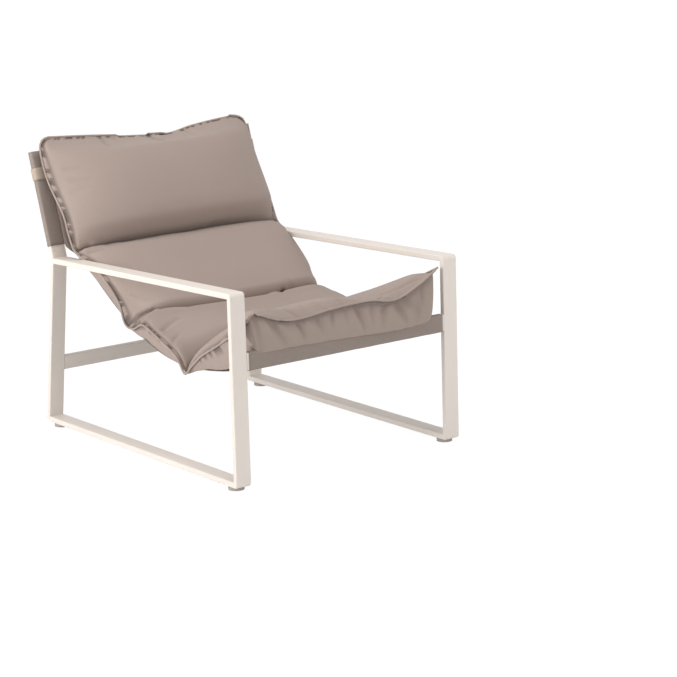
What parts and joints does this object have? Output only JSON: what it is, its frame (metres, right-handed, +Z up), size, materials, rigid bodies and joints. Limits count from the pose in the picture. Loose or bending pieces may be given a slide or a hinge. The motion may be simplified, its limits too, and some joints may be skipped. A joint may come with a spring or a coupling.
{
  "type": "sling lounge armchair",
  "caption": "Low garden armchair with flat-tube side frames, a cloth sling seat and a long padded cushion, on levelling feet.",
  "frame": {"origin": "on the floor under the middle of the chair's outline", "axes": "+Z up, the chair faces -Y, +X towards the sitter's left"},
  "size_m": [0.7324, 0.9482, 0.7965],
  "materials": {
    "frame_coat": "off-white powder coat, fine texture",
    "block_alloy": "sawn and drilled",
    "bolt_steel": "plain zinc",
    "cover_plastic": "moulded in the frame's colour",
    "plug_plastic": "moulded",
    "insert_plastic": "moulded",
    "foot_plastic": "moulded, half clear",
    "stem_steel": "plain zinc",
    "sling_cloth": "coated outdoor weave",
    "cushion_cloth": "plain outdoor weave",
    "strap_elastic": "woven elastic"
  },
  "bodies": {
    "chair": {"front_leg_left": "frame_coat", "armrest_left": "frame_coat", "back_leg_left": "frame_coat", "runner_left": "frame_coat", "back_post_left": "frame_coat", "front_leg_right": "frame_coat", "armrest_right": "frame_coat", "back_leg_right": "frame_coat", "runner_right": "frame_coat", "back_post_right": "frame_coat", "front_rail": "frame_coat", "rear_stretcher": "frame_coat", "top_rail": "frame_coat", "rail_end_blocks": "block_alloy", "rail_bolts": "bolt_steel", "bolt_covers": "cover_plastic", "post_plugs": "plug_plastic", "foot_inserts": "insert_plastic", "sling_front_sleeve": "sling_cloth", "sling_top_sleeve": "sling_cloth", "sling_post_sleeve_left": "sling_cloth", "sling_post_sleeve_right": "sling_cloth", "sling_panel": "sling_cloth", "cushion": "cushion_cloth", "cushion_strap": "strap_elastic"},
    "foot_front_left": {"foot_pad_front_left": "foot_plastic", "foot_stem_front_left": "stem_steel"},
    "foot_back_left": {"foot_pad_back_left": "foot_plastic", "foot_stem_back_left": "stem_steel"},
    "foot_front_right": {"foot_pad_front_right": "foot_plastic", "foot_stem_front_right": "stem_steel"},
    "foot_back_right": {"foot_pad_back_right": "foot_plastic", "foot_stem_back_right": "stem_steel"}
  },
  "joints": [
    {"name": "foot_front_left_level", "type": "slide", "parent": "chair", "child": "foot_front_left", "axis": [0, 0, -1], "range_m": [0, 0.006]},
    {"name": "foot_back_left_level", "type": "slide", "parent": "chair", "child": "foot_back_left", "axis": [0, 0, -1], "range_m": [0, 0.006]},
    {"name": "foot_front_right_level", "type": "slide", "parent": "chair", "child": "foot_front_right", "axis": [0, 0, -1], "range_m": [0, 0.006]},
    {"name": "foot_back_right_level", "type": "slide", "parent": "chair", "child": "foot_back_right", "axis": [0, 0, -1], "range_m": [0, 0.006]}
  ]
}
